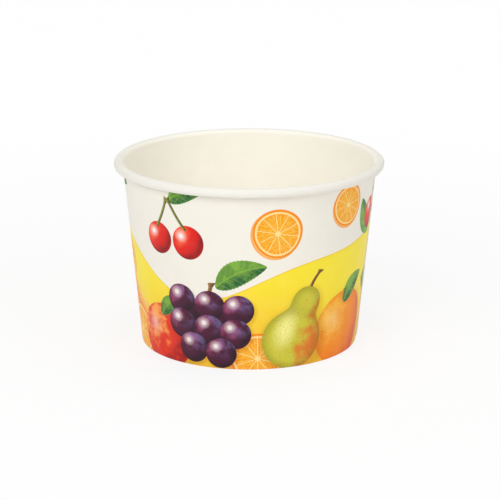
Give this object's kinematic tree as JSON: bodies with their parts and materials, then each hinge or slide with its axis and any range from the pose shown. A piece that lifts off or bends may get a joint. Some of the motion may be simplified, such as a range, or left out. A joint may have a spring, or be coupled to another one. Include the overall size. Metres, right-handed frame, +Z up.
{
  "type": "paper dessert cup",
  "caption": "Round tapered cup of coated paperboard with a rolled rim, a lapped side seam and a recessed bottom, for a single serving of a cold dessert.",
  "frame": {"origin": "centre of the ring that the cup stands on, in the plane of the table", "axes": "+Z up along the cup's axis, +X towards the side seam"},
  "size_m": [0.0901, 0.09, 0.0626],
  "materials": {
    "printed_board": "satin coated paperboard with a fruit print outside, plain warm white inside",
    "bottom_board": "satin coated paperboard, plain warm white"
  },
  "bodies": {
    "root": {"cup_wall": "printed_board", "cup_bottom": "bottom_board"}
  },
  "joints": []
}
